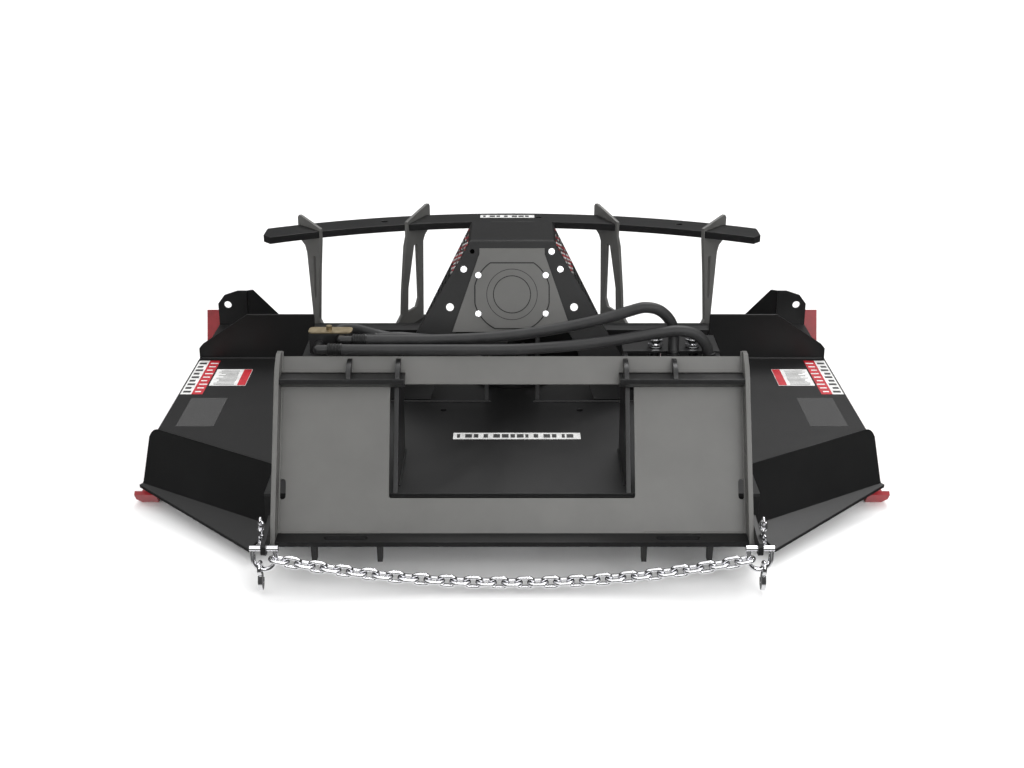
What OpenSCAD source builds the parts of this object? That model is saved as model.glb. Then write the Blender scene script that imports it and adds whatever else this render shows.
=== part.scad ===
// Skid-steer rotary brush mower: deck, quick-attach mount, open-front push bar,
// hydraulic spindle with swinging blades, hoses, couplers and a rear guard chain.
// Frame: +X across the machine, +Y forward (away from the loader), +Z up,
// origin on the ground under the middle of the machine's box.
// Places below are given from the front edge of the mount's bottom lip (y = 0).

/* [Deck] */
// Half of the deck's width, over the side plates
deck_half_w = 958; // [940:1:975]
// Height of the deck's top face above the ground
deck_z = 190; // [188:1:192]
// Thickness of the deck and skirt plates
deck_t = 8; // [6:1:10]
// Length from the lip to the deck's front edge
deck_front_y = 1386; // [1380:1:1395]
// Width of each skid shoe
shoe_w = 58; // [50:1:60]

/* [Quick-attach mount] */
// Overall width over the two side flanges
mount_w = 1160; // [1150:1:1180]
// Length of the mount plate, measured up its slope
mount_len = 435; // [430:1:440]
// Thickness of the mount's plates
mount_t = 12; // [10:1:12]
// Width of the opening in the mount plate
window_w = 600; // [560:1:620]
// Distance between the two slots for the locking wedges
slot_spacing = 800; // [790:1:810]

/* [Push bar] */
// Radius of the bar's rear edge, seen from above
bar_r = 1630; // [1620:1:1640]
// Depth of the bar from its rear edge to its front edge
bar_depth = 110; // [100:1:114]
// Thickness of the bar
bar_t = 23; // [20:1:25]
// Half of the bar's overall width
bar_half_w = 810; // [790:1:830]

/* [Motor hood] */
// Height of the hood's top above the ground
hood_top_z = 620; // [616:1:624]
// Half of the hood's width at its top
hood_top_half = 118; // [112:1:122]
// Half of the hood's width where it meets the deck
hood_base_half = 333; // [328:1:338]

/* [Cutting rotor] */
// Radius swept by the blade tips
tip_r = 800; // [780:1:800]
// Radius of the circle of blade bolts
pivot_r = 430; // [425:1:435]
// Radius of a blade bolt's shank
bolt_r = 19; // [16:1:20]
// Radial running clearance at the bolts, the shaft and the chain pins
run_gap = 0.05; // [0.02:0.01:0.09]

/* [Guard chain] */
// Wire radius of the chain
wire_r = 5; // [4.5:0.1:5]
// How far the chain's middle hangs below its ends
chain_sag = 60; // [55:1:62]

/* [Hidden] */
$fn = 64;

black = [0.10, 0.10, 0.10];
satin = [0.22, 0.22, 0.22];
grey = [0.32, 0.32, 0.31];
red = [0.72, 0.10, 0.13];
bright = [0.82, 0.82, 0.84];
hose_black = [0.13, 0.13, 0.13];

deck_low = deck_z - deck_t;

// Mount plate: it leans forward by 30 degrees from the upright.
lean = 30;
face_y = 38;
face_z = 112;
ledge_z = 453;
function face_at(z) = face_y + (z - face_z) * tan(lean);
function back_at(z) = face_at(z) + mount_t / cos(lean);
mount_top_y = face_y + mount_len * sin(lean);
mount_top_z = face_z + mount_len * cos(lean);
flange_x = mount_w / 2 - mount_t;

// Hood: the rear edge leans forward.
hood_y = 697;
hood_top_y = 834;
hood_front_y = 1055;
hood_t = 5;
hood_lean = atan((hood_top_y - hood_y) / (hood_top_z - deck_z));
hood_len = (hood_top_z - deck_z) / cos(hood_lean);
hood_taper = (hood_base_half - hood_top_half) / hood_len;
cover_s = 303;
guard_low = 197;
guard_high = 414;

// Rotor
rotor_y = 925;
shaft_r = 30;
carrier_z = 82;
carrier_t = 16;
blade_z = 64;
blade_t = 16;
blade_angles = [-90, 30, 150];

// Push bar
bar_centre_y = -6;
bar_z = 447;

// Guard chain: links of round wire, hung from two bows.
link_w = 34;
link_len = 51.4;
link_pitch = 30.9;
link_half = link_len / 2 - wire_r;
end_links = 18;
anchor_x = 586;
chain_y = -55;
pin_z = 120;
bow_z = 91;
bow_r = 27;
bow_wire = 6;
chain_low_z = 28;
chain_half = 552;
tail_offset = 12;

// The box runs from the grab hooks at the rear to the middle of the push bar at the front.
hook_eye_r = 14;
rear_y = chain_y - hook_eye_r - wire_r;
front_y = bar_centre_y + bar_r + bar_depth;
mid_y = (rear_y + front_y) / 2;

// Hose routes: one point every few diameters, from the fitting to the far end.
hose_r = 14;
hose_a = [
    [-395, 287, 520], [-340, 287, 520], [-280, 288, 520], [-220, 288, 520], [-160, 289, 521],
    [-100, 290, 523], [-40, 291, 527], [20, 293, 533], [80, 296, 541], [140, 300, 551],
    [195, 304, 562], [245, 308, 574], [290, 312, 587], [330, 315, 596], [367, 318, 587],
    [394, 319, 560], [404, 317, 528], [404, 309, 500], [404, 299, 474], [404, 293, 452]
];
hose_b = [
    [-455, 262, 504], [-400, 261, 504], [-340, 260, 504], [-280, 260, 504], [-220, 260, 504],
    [-160, 260, 504], [-100, 260, 504], [-40, 261, 504], [20, 262, 505], [80, 264, 508],
    [140, 267, 512], [200, 270, 518], [258, 274, 525], [312, 278, 533], [365, 282, 541],
    [415, 285, 545], [455, 287, 535], [481, 289, 509], [490, 291, 478], [490, 293, 452]
];
hose_c = [
    [-372, 322, 508], [-330, 324, 512], [-285, 334, 511], [-240, 352, 501], [-190, 382, 486],
    [-142, 418, 469], [-97, 462, 449], [-62, 512, 432], [-44, 566, 416], [-36, 620, 398],
    [-31, 672, 378], [-29, 724, 357], [-28, 776, 337], [-28, 826, 322]
];
hose_d = [
    [-452, 364, 504], [-450, 400, 502], [-436, 436, 498], [-404, 464, 487], [-360, 482, 468],
    [-310, 494, 452], [-258, 503, 434], [-206, 513, 415], [-155, 528, 395], [-107, 550, 373],
    [-64, 582, 350], [-26, 622, 330], [6, 668, 314], [24, 720, 303], [30, 772, 297],
    [30, 826, 296]
];
supply_ends = [[404, 293], [490, 293]];
coupler_xs = [363, 457];
coupler_y = 350;
block_z = 395;
block_h = 30;

// ---- helpers ----

// Moves a shape from the lip's frame to the part's frame.
module at_lip() {
    translate([0, -mid_y, 0]) children();
}

// side = -1 draws on the left, 1 on the right: a shape is drawn for the right and mirrored.
module on_side(side) {
    mirror([side < 0 ? 1 : 0, 0, 0]) children();
}

// An outline of [y, z] points given thickness along X from x0 to x0 + t.
module plate_x(x0, t) {
    translate([x0, 0, 0]) rotate([90, 0, 90]) linear_extrude(t) children();
}

// An outline of [x, z] points given thickness along Y from y0 to y0 + t.
module plate_y(y0, t) {
    translate([0, y0 + t, 0]) rotate([90, 0, 0]) linear_extrude(t) children();
}

// An outline of [distance, z] points on a vertical plate that starts at p and heads a degrees
// from straight ahead towards +X.
module plate_turned(p, a, t) {
    translate([p.x, p.y, 0]) rotate([0, 0, 90 - a]) rotate([90, 0, 0])
        translate([0, 0, -t / 2]) linear_extrude(t) children();
}

// The mount plate's own plane: x across, y up the slope, z out of the face.
module on_mount() {
    translate([0, face_y, face_z]) rotate([90 - lean, 0, 0]) children();
}

// The plane of the hood's rear edge: x across, y up the slope, z towards the loader.
module on_hood() {
    translate([0, hood_y, deck_z]) rotate([90 - hood_lean, 0, 0]) children();
}

module rounded_rect(w, h, r) {
    square([w - 2 * r, h], center = true);
    square([w, h - 2 * r], center = true);
    for (x = [-1, 1], y = [-1, 1]) translate([x * (w / 2 - r), y * (h / 2 - r)]) circle(r);
}

module rod_x(p, r, length) {
    translate(p) rotate([0, 90, 0]) cylinder(r = r, h = length);
}

module rod_y(p, r, length) {
    translate(p) rotate([-90, 0, 0]) cylinder(r = r, h = length);
}

function unit(v) = v / norm(v);
function left_of(v) = [-v.y, v.x];
// The corner of a strip's other edge, t to the left of the line through pts.
function strip_corner(pts, i, t) =
    let (last = len(pts) - 1,
         n1 = left_of(unit(pts[max(i, 1)] - pts[max(i, 1) - 1])),
         n2 = left_of(unit(pts[min(i, last - 1) + 1] - pts[min(i, last - 1)])))
    pts[i] + t * (n1 + n2) / (1 + n1 * n2);
function strip(pts, t) = concat(
    pts, [for (i = [len(pts) - 1:-1:0]) strip_corner(pts, i, t)]);

// A tube swept along a route, as one closed polyhedron.
function tangent(p, i) = unit(p[min(i + 1, len(p) - 1)] - p[max(i - 1, 0)]);
function side_of(t) = unit(cross(t, abs(t.z) > 0.8 ? [0, 1, 0] : [0, 0, 1]));
function carried(side, t) = unit(side - (side * t) * t);
function sides(p, i) = i == 0 ? side_of(tangent(p, 0)) : carried(sides(p, i - 1), tangent(p, i));
module hose(p) {
    n = 10;
    points = [for (i = [0:len(p) - 1])
        let (t = tangent(p, i), u = sides(p, i), v = cross(t, u))
        for (k = [0:n - 1]) p[i] + hose_r * (cos(360 * k / n) * u + sin(360 * k / n) * v)];
    walls = [for (i = [0:len(p) - 2], k = [0:n - 1])
        let (a = i * n + k, b = i * n + (k + 1) % n) [a, a + n, b + n, b]];
    start = [for (k = [0:n - 1]) k];
    finish = [for (k = [n - 1:-1:0]) (len(p) - 1) * n + k];
    polyhedron(points, concat([start, finish], walls));
}

// ---- deck ----

module deck_plate() color(satin) at_lip() difference() {
    corner_y = deck_front_y + 79;
    translate([0, 0, deck_low]) linear_extrude(deck_t) polygon([
        [-deck_half_w, corner_y], [-740, corner_y], [-700, deck_front_y], [700, deck_front_y],
        [740, corner_y], [deck_half_w, corner_y], [deck_half_w, 483], [606, 254], [606, 98],
        [-606, 98], [-606, 254], [-deck_half_w, 483]]);
    translate([0, rotor_y, 0]) cylinder(r = 85, h = 300);
    for (p = [[-191, 633], [189, 633], [320, 640]]) translate([p.x, p.y, 0]) cylinder(r = 9, h = 300);
}

module rear_wall() color(black) at_lip() {
    wall_h = deck_low - 60;
    translate([-606, 98, 60]) cube([1212, deck_t, wall_h]);
    for (side = [-1, 1]) on_side(side)
        translate([598, 98 + deck_t, 60]) cube([deck_t, 134, wall_h]);
}

module side_plate(side) color(black) at_lip() on_side(side)
    difference() {
        translate([deck_half_w - deck_t, 483, 40]) cube([deck_t, deck_front_y + 79 - 483, deck_low - 40]);
        for (y = shoe_bolt_ys) rod_x([deck_half_w - 20, y, shoe_bolt_z], 6.5, 40);
    }
module side_plate_left() side_plate(-1);
module side_plate_right() side_plate(1);

// Rear skirt: a sloping upper panel bent outwards along its foot.
module rear_skirt(side) color(black) at_lip() on_side(side) mirror([1, 0, 0]) intersection() {
    difference() {
        translate([-606, 248, 0]) rotate([0, 0, 147]) rotate([90, 0, 90])
            translate([0, 0, -110]) linear_extrude(560)
                polygon(strip([[0, 200], [64, 65], [160, 34]], -deck_t));
        // rounded outer top corner
        translate([-606, 248, 200]) rotate([0, 0, 147]) rotate([-65, 0, 0])
            translate([411, 0, -40]) rotate([0, 0, 0]) skirt_corner(24);
    }
    linear_extrude(240) polygon([
        [-606, 280], [-606, 172], [-653, 97], [-1000, 418], [-990, 424], [-972, 500]]);
}
module skirt_corner(r) linear_extrude(80) translate([0, 0]) difference() {
    translate([0, -20]) square([r + 40, r + 20]);
    translate([0, r]) circle(r);
    translate([-1, r]) square([2 * r, r]);
}
module rear_skirt_left() rear_skirt(-1);
module rear_skirt_right() rear_skirt(1);

module shoulder_wall(side) color(black) at_lip() on_side(side)
    plate_y(1050, deck_t) polygon([
        [957, deck_z], [957, 222], [945, 236], [804, 331], [600, 331], [600, deck_z]]);
module shoulder_wall_left() shoulder_wall(-1);
module shoulder_wall_right() shoulder_wall(1);

module crossmember() color(black) at_lip() difference() {
    translate([-600, 1058, deck_z]) cube([1200, 40, 90]);
    translate([-601, 1064, deck_z + 6]) cube([1202, 28, 78]);
}

// Front wall below the deck, and the low apron that carries the uprights.
module front_apron() color(black) at_lip() difference() {
    apron_z = 105;
    union() {
        translate([-700, deck_front_y - deck_t, apron_z]) cube([1400, deck_t, deck_low - apron_z]);
        translate([0, 0, apron_z]) linear_extrude(10) polygon([
            [-700, deck_front_y - deck_t], [-700, 1555], [-425, 1555], [-355, 1600], [-325, 1700],
            [325, 1700], [355, 1600], [425, 1555], [700, 1555], [700, deck_front_y - deck_t]]);
    }
    // room for the blade bolts to pass
    translate([-95, deck_front_y - 20, apron_z - 1]) cube([190, 24, 14]);
}

module front_ear(side) color(satin) at_lip() on_side(side) {
    ear_y = 1369;
    difference() {
        plate_y(ear_y, deck_t) {
            difference() {
                polygon([
                    [957, deck_z], [957, 262], [936, 290], [892, 305], [862, 305], [862, deck_z]]);
                translate([926, 258]) circle(12);
            }
        }
    }
    difference() {
        plate_turned([862, ear_y + 4], -45, deck_t)
            polygon([[0, deck_z], [0, 305], [24, 303], [120, 196], [120, deck_z]]);
        translate([862, ear_y - 20, 0]) cube([60, 60, 400]);
    }
}
module front_ear_left() front_ear(-1);
module front_ear_right() front_ear(1);

shoe_bolt_ys = [560, 900, 1240];
shoe_bolt_z = 80;
module skid_shoe(side) color(red) at_lip() on_side(side) difference() {
    union() {
        plate_x(deck_half_w, shoe_w)
            polygon(strip([[412, 34], [438, 0], [1290, 0], [1372, 24], [1432, 82], [1478, 205]], 12));
        plate_x(deck_half_w, deck_t)
            polygon([[445, 6], [445, 90], [470, 120], [1380, 120], [1400, 60], [1290, 6]]);
    }
    for (y = shoe_bolt_ys) rod_x([deck_half_w - 20, y, shoe_bolt_z], 6.5, 40);
    // chamfer along the outer bottom edge
    translate([deck_half_w + shoe_w, 380, 0]) rotate([-90, 45, 0])
        translate([-10, -10, 0]) cube([20, 20, 900]);
}
module skid_shoe_left() skid_shoe(-1);
module skid_shoe_right() skid_shoe(1);

module shoe_bolts() color(bright) at_lip()
    for (side = [-1, 1], y = shoe_bolt_ys) on_side(side) {
        rod_x([deck_half_w - deck_t - 9, y, shoe_bolt_z], 6, deck_t * 2 + 12);
        translate([deck_half_w + deck_t, y, shoe_bolt_z]) rotate([0, 90, 0]) cylinder(r = 11, h = 8, $fn = 6);
        translate([deck_half_w - deck_t - 8, y, shoe_bolt_z]) rotate([0, 90, 0]) cylinder(r = 11, h = 8, $fn = 6);
    }

// ---- quick-attach mount ----

module mount_plate() color(grey) at_lip() difference() {
    plate_x(-flange_x, 2 * flange_x) polygon([
        [face_y, face_z], [back_at(face_z), face_z],
        [mount_top_y + mount_t * cos(lean), mount_top_z - mount_t * sin(lean)],
        [mount_top_y, mount_top_z]]);
    on_mount() {
        translate([0, 225.5, -30]) linear_extrude(60) rounded_rect(window_w, 281, 6);
        for (side = [-1, 1]) translate([side * (flange_x - 9), 107, -30])
            linear_extrude(60) rounded_rect(15.9, 50, 7.9);
    }
    for (side = [-1, 1]) ledge_body(side);
}

module mount_flange(side) color(grey) at_lip() on_side(side)
    plate_x(flange_x, mount_t) polygon([
        [-10, 98], [-10, 112], [188, 455], [206, 478], [240, 501], [262, 501], [270, 492],
        [back_at(485), 485], [back_at(100), 100], [34, 72], [14, 72]]);
module mount_flange_left() mount_flange(-1);
module mount_flange_right() mount_flange(1);

// A ledge and its two ribs, let 1 mm into the plate. The underside is square to the plate's face.
module ledge_body(side) on_side(side) {
    let_in = 1 / cos(lean);
    root_z = 422.3;
    plate_x(263, flange_x - 263) polygon([
        [187, ledge_z - mount_t], [face_at(root_z), root_z],
        [face_at(root_z) + cos(lean), root_z - sin(lean)], [face_at(ledge_z) + let_in, ledge_z],
        [187, ledge_z]]);
    for (x = [274, 394]) plate_x(x, mount_t) polygon([
        [192, ledge_z], [face_at(ledge_z) + let_in, ledge_z], [face_at(484) + let_in, 484], [238, 484],
        [208, 476], [196, 464]]);
}
module hook_ledge(side) color(grey) at_lip() ledge_body(side);
module hook_ledge_left() hook_ledge(-1);
module hook_ledge_right() hook_ledge(1);

module mount_lip() color(grey) at_lip() {
    lip_z = face_z - mount_t;
    difference() {
        translate([-flange_x, -10, lip_z]) cube([2 * flange_x, back_at(face_z) + 10, mount_t]);
        for (side = [-1, 1]) translate([side * slot_spacing / 2, 13, 0])
            linear_extrude(200) {
                square([84, 22], center = true);
                for (x = [-42, 42]) translate([x, 0]) circle(11);
            }
    }
    for (side = [-1, 1], x = [319, 478]) on_side(side)
        plate_x(x - mount_t / 2, mount_t) polygon([
            [-4, lip_z], [48, lip_z], [30, 50], [8, 50]]);
}

// Top plate and two webs that tie the mount to the deck.
module mount_brace(side, plate_y0) color(satin) at_lip() on_side(side) {
    top = 472;
    difference() {
        translate([0, 0, top]) linear_extrude(8) polygon([
            [279, plate_y0], [279, 366], [400, 440], [522, 440], [522, plate_y0]]);
        if (side > 0) for (x = coupler_xs) translate([x, coupler_y, 0]) cylinder(r = 17, h = 600);
    }
    plate_x(279, mount_t) polygon([
        [back_at(deck_z) + 2, deck_z], [back_at(deck_z) + 0.1, deck_z + 0.1], [back_at(top) + 0.1, top], [366, top], [366, deck_z]]);
    plate_x(510, mount_t) polygon([
        [back_at(deck_z) + 2, deck_z], [back_at(deck_z) + 0.1, deck_z + 0.1], [back_at(top) + 0.1, top], [440, top], [440, deck_z]]);
}
module mount_brace_left() mount_brace(-1, 285);
module mount_brace_right() mount_brace(1, 320);

// ---- motor hood ----

module hood_side_view(low) polygon([
    [hood_y - 1, deck_z - 1], [hood_y + (low - deck_z) * tan(hood_lean), low],
    [hood_top_y, hood_top_z + 1], [hood_front_y, hood_top_z + 1], [hood_front_y, deck_z - 1]]);

module motor_hood() color(satin) at_lip() difference() {
    side_angle = atan((hood_base_half - hood_top_half) / (hood_top_z - deck_z));
    in_x = hood_t / cos(side_angle);
    cut = 16 / cos(hood_lean);
    wall_z = 430;
    wall_half = hood_base_half - (wall_z - deck_z) * tan(side_angle);
    union() {
        intersection() {
            plate_y(hood_y, hood_front_y - hood_y) difference() {
                polygon([
                    [-hood_base_half, deck_z], [-hood_top_half, hood_top_z],
                    [hood_top_half, hood_top_z], [hood_base_half, deck_z]]);
                polygon([
                    [-hood_base_half + in_x, deck_z - 1], [-hood_top_half + in_x, hood_top_z - hood_t],
                    [hood_top_half - in_x, hood_top_z - hood_t], [hood_base_half - in_x, deck_z - 1]]);
            }
            plate_x(-400, 800) polygon([
                [hood_y + cut, deck_z], [hood_top_y + cut, hood_top_z], [hood_front_y, hood_top_z],
                [hood_front_y, deck_z]]);
        }
        // upper front wall
        plate_y(hood_front_y - hood_t, hood_t) polygon([
            [-wall_half, wall_z], [-hood_top_half, hood_top_z], [hood_top_half, hood_top_z],
            [wall_half, wall_z]]);
    }
    // rows of louvres in both sides
    for (side = [-1, 1]) on_side(side)
        translate([hood_base_half, 0, deck_z]) rotate([0, -side_angle, 0])
            for (row = [0:8], col = [0:2])
                translate([-20, 838 + col * 68, 118 + row * 26]) cube([40, 54, 11]);
}

// Rear plate of the hood, wider than the hood at its foot, open in the middle.
module hood_flanges() color(black) at_lip() on_hood() {
    top_s = 451;
    foot_s = 5.2;
    translate([0, 0, -16]) difference() {
        linear_extrude(8) polygon([
            [-384, foot_s], [-118, top_s], [118, top_s], [384, foot_s],
            [232, foot_s], [176, 170], [149, 212], [84, 396],
            [-84, 396], [-149, 212], [-176, 170], [-232, foot_s]]);
        for (side = [-1, 1], p = [[112, 424], [136.4, 374], [175.7, 267]])
            translate([side * p.x, p.y, -1]) cylinder(r = p.y < 300 ? 11 : 6.5, h = 20);
    }
    // posts under the guard plate
    for (x = [-72, 72]) translate([x - 6, 4, -8]) cube([12, guard_low - 4, 8]);
}

module guard_plate() color(grey) at_lip() on_hood() {
    difference() {
        translate([0, 0, -8]) linear_extrude(8) polygon([
            [-169, guard_low], [-93, guard_high], [93, guard_high], [169, guard_low]]);
        for (x = [-95, 95], y = [-54, 54]) translate([x, cover_s + y, -20]) cylinder(r = 5.5, h = 40);
    }
    // bent top edge
    plate_x(-92, 184) polygon([
        [guard_high, 0], [guard_high, -8], [guard_high + 19, -8], [guard_high + 19, -5]]);
}

module access_cover() color(grey) at_lip() on_hood() {
    translate([0, cover_s, 0]) {
        difference() {
            intersection() {
                cylinder(r = 106, h = 5);
                translate([-103, -95, -1]) cube([206, 182, 10]);
            }
            for (x = [-95, 95], y = [-54, 54]) translate([x, y, -1]) cylinder(r = 9, h = 9);
        }
        translate([0, 0, 5]) cylinder(r = 51, h = 3);
        for (a = [90, 210, 330]) rotate([0, 0, a]) translate([61, 0, 5]) cylinder(r = 3, h = 1.5);
    }
}

module cover_bolts() color(bright) at_lip() on_hood()
    for (x = [-95, 95], y = [-54, 54]) translate([x, cover_s + y, 0]) {
        cylinder(r = 8.5, h = 1.5);
        translate([0, 0, 1.5]) cylinder(r = 7.5, h = 6, $fn = 6);
        translate([0, 0, -8]) cylinder(r = 5, h = 8.1);
    }

module hood_bolts() color(bright) at_lip() on_hood()
    for (p = [[112, 424], [136.4, 374], [-136.4, 374]]) translate([p.x, p.y, -8]) {
        cylinder(r = 9, h = 1.5);
        translate([0, 0, 1.5]) cylinder(r = 8, h = 6, $fn = 6);
        translate([0, 0, -14]) cylinder(r = 6, h = 14.1);
    }

// ---- spindle, motor and rotor ----

module hydraulic_motor() color(black) at_lip() {
    translate([0, rotor_y, 0]) {
        translate([0, 0, deck_z + 16]) cylinder(r = 88, h = 18);
        translate([0, 0, deck_z + 34]) cylinder(r = 70, h = 110);
        translate([0, 0, deck_z + 144]) cylinder(r = 58, h = 22);
    }
    difference() {
        for (end = [hose_c[13], hose_d[15]]) rod_y([end.x, end.y + 5, end.z], 13, 45);
        translate([0, rotor_y, deck_z + 34]) cylinder(r = 70, h = 110);
    }
}

module spindle_housing() color(black) at_lip() translate([0, rotor_y, 0]) difference() {
    union() {
        translate([0, 0, deck_z]) cylinder(r = 130, h = 16);
        translate([0, 0, 117]) cylinder(r = 80, h = 80);
    }
    translate([0, 0, 100]) cylinder(r = 62, h = 90);
    translate([0, 0, 100]) cylinder(r = 34, h = 120);
    for (a = [0:45:315]) rotate([0, 0, a + 22.5]) translate([112, 0, 150]) cylinder(r = 8.5, h = 100);
}

module spindle_bearings() color(bright) at_lip() translate([0, rotor_y, 0])
    for (z = [119, 168]) translate([0, 0, z]) difference() {
        cylinder(r = 62, h = 22);
        translate([0, 0, -1]) cylinder(r = shaft_r + run_gap, h = 24);
    }

module spindle_shaft() color(bright) at_lip() translate([0, rotor_y, carrier_z])
    cylinder(r = shaft_r, h = deck_z + 15 - carrier_z);

module rotor_hub() color(satin) at_lip() translate([0, rotor_y, carrier_z + carrier_t]) difference() {
    cylinder(r = 110, h = 15);
    translate([0, 0, -1]) cylinder(r = shaft_r, h = 20);
}

module blade_carrier() color(satin) at_lip() translate([0, rotor_y, carrier_z]) difference() {
    cylinder(r = pivot_r + 45, h = carrier_t);
    translate([0, 0, -1]) cylinder(r = shaft_r, h = carrier_t + 2);
    for (a = blade_angles) {
        rotate([0, 0, a]) translate([pivot_r, 0, -1]) cylinder(r = bolt_r + 0.3, h = carrier_t + 2);
        rotate([0, 0, a + 60]) translate([300, 0, -1]) cylinder(r = 70, h = carrier_t + 2);
    }
}

module stump_jumper() color(satin) at_lip() translate([0, rotor_y, 0]) rotate_extrude()
    polygon([[0, 46], [120, 46], [212, 66], [220, 82], [208, 82], [202, 75], [118, 57], [0, 57]]);

module blade_bolts() color(bright) at_lip() translate([0, rotor_y, 0])
    for (a = blade_angles) rotate([0, 0, a]) translate([pivot_r, 0, 0]) {
        translate([0, 0, blade_z - 13]) cylinder(r = 28, h = 12.5);
        translate([0, 0, blade_z - 1]) cylinder(r = bolt_r, h = carrier_z + carrier_t - blade_z + 2);
        translate([0, 0, carrier_z + carrier_t]) cylinder(r = 28, h = 14, $fn = 6);
    }

module blade(i) color(grey) at_lip() translate([0, rotor_y, blade_z]) rotate([0, 0, blade_angles[i]])
    translate([pivot_r, 0, 0]) difference() {
        reach = tip_r - pivot_r;
        linear_extrude(blade_t) polygon([
            [-48, -24], [-48, 24], [-28, 44], [reach - 60, 44], [reach, 24], [reach, -44], [-28, -44]]);
        translate([0, 0, -1]) cylinder(r = bolt_r + run_gap, h = blade_t + 2);
        // sharpened leading edge
        translate([60, -44, blade_t]) rotate([-30, 0, 0]) translate([0, -40, 0]) cube([reach, 60, 40]);
    }
module blade_1() blade(0);
module blade_2() blade(1);
module blade_3() blade(2);

// ---- push bar ----

module bar_outline(grow) intersection() {
    difference() {
        translate([0, bar_centre_y]) circle(bar_r + bar_depth + grow, $fn = 200);
        translate([0, bar_centre_y]) circle(bar_r - grow, $fn = 200);
    }
    polygon([
        [-bar_half_w - grow, 1452], [-bar_half_w + 62, 1380], [bar_half_w - 62, 1380],
        [bar_half_w + grow, 1452], [bar_half_w + grow, 1512], [bar_half_w - 20, 1900],
        [-bar_half_w + 20, 1900], [-bar_half_w - grow, 1512]]);
}

module push_bar() color(satin) at_lip() difference() {
    translate([0, 0, bar_z]) linear_extrude(bar_t) bar_outline(0);
    for (p = bar_holes) translate([p.x, p.y, 0]) cylinder(r = 11, h = 600);
}
bar_holes = [[-430, 1625], [90, 1682], [560, 1590]];

module upright(p, a, outline, window) color(grey) at_lip() difference() {
    plate_turned(p, a, 10) difference() {
        polygon(outline);
        polygon(window);
    }
    translate([0, 0, bar_z - 0.3]) linear_extrude(bar_t + 0.6) bar_outline(0.3);
}
inner_outline = [
    [-9, 480], [138, 508], [152, 507], [159, 498], [159, 438], [150, 421], [120, 406], [106, 388],
    [102, 290], [96, 115], [-208, 115], [-208, 165], [-90, 150], [-58, 170], [-50, 250], [-24, 400],
    [-9, 432]];
inner_window = [[38, 388], [60, 388], [66, 196], [46, 168], [-16, 168], [-10, 250]];
outer_outline = [
    [-2, 480], [112, 502], [124, 503], [133, 494], [133, 436], [120, 418], [96, 404], [86, 382],
    [68, 180], [64, 115], [-134, 115], [-134, 165], [10, 140], [30, 160], [14, 320], [-2, 440]];
outer_window = [[32, 378], [46, 378], [52, 250], [46, 226], [40, 240]];
module upright_inner(side) upright([side * 351, 1586], -side * 24, inner_outline, inner_window);
module upright_outer(side) upright([side * 628, 1495], side * 40, outer_outline, outer_window);
module upright_inner_left() upright_inner(-1);
module upright_inner_right() upright_inner(1);
module upright_outer_left() upright_outer(-1);
module upright_outer_right() upright_outer(1);

// ---- hydraulics ----

module manifold_block() color(black) at_lip()
    translate([-506, 300, 480]) cube([105, 40, 52]);

module manifold_cap() color([0.75, 0.66, 0.42]) at_lip() {
    translate([-453.5, 320, 532]) linear_extrude(4) rounded_rect(109, 42, 12);
    translate([-457, 320, 536]) cylinder(r = 7, h = 11);
}

module hose_fittings() color(black) at_lip() {
    // elbows on the block's rear ports
    rod_y([-480, 262, 504], 12, 38);
    translate([-480, 262, 504]) sphere(12);
    rod_x([-480, 262, 504], 12, 24);
    rod_y([-425, 287, 520], 11, 13);
    translate([-425, 287, 520]) sphere(11);
    rod_x([-425, 287, 520], 11, 28);
    // straight fittings for the two motor hoses
    rod_x([-401, 322, 508], 12, 27.5);
    rod_y([-452, 340, 504], 12, 22.5);
    // ferrules on the coupler block
    for (p = supply_ends) translate([p.x, p.y, block_z + block_h]) cylinder(r = 15, h = 447 - block_z - block_h);
}

module coupler_block() color(black) at_lip()
    translate([291, 266, block_z]) cube([219, 114, block_h]);

module couplers() color(bright) at_lip() for (x = coupler_xs) translate([x, coupler_y, block_z + block_h]) {
    cylinder(r = 15, h = 58);
    translate([0, 0, 57]) cylinder(r = 19, h = 8, $fn = 6);
    translate([0, 0, 64]) cylinder(r = 13, h = 34);
}

module coupler_sleeve(x) color(bright) at_lip() translate([x, coupler_y, block_z + block_h + 71])
    difference() {
        union() {
            cylinder(r = 20, h = 8);
            translate([0, 0, 7]) cylinder(r = 18, h = 6);
            translate([0, 0, 12]) cylinder(r = 20, h = 8);
        }
        translate([0, 0, -1]) cylinder(r = 13 + run_gap, h = 30);
    }
module coupler_sleeve_left() coupler_sleeve(coupler_xs[0]);
module coupler_sleeve_right() coupler_sleeve(coupler_xs[1]);

module supply_hose_a() color(hose_black) at_lip() hose(hose_a);
module supply_hose_b() color(hose_black) at_lip() hose(hose_b);
module motor_hose_c() color(hose_black) at_lip() hose(hose_c);
module motor_hose_d() color(hose_black) at_lip() hose(hose_d);

// ---- guard chain ----

module chain_anchors() color(grey) at_lip() for (side = [-1, 1]) on_side(side) difference() {
    plate_x(mount_w / 2, mount_t) polygon([
        [-70, 110], [-70, 130], [-62, 137], [-40, 138], [60, 150], [60, 116], [-40, 104], [-62, 104]]);
    rod_x([mount_w / 2 - 1, chain_y, pin_z], 7 + run_gap, mount_t + 2);
}

// One link, its long axis along X, lying flat.
module link() {
    turn_r = link_w / 2 - wire_r;
    straight = link_half - turn_r;
    for (end = [-1, 1]) translate([end * straight, 0, 0])
        rotate([0, 0, end > 0 ? -90 : 90]) rotate_extrude(angle = 180) translate([turn_r, 0]) circle(wire_r, $fn = 20);
    for (y = [-turn_r, turn_r]) rod_x([-straight, y, 0], wire_r, 2 * straight, $fn = 20);
}

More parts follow.
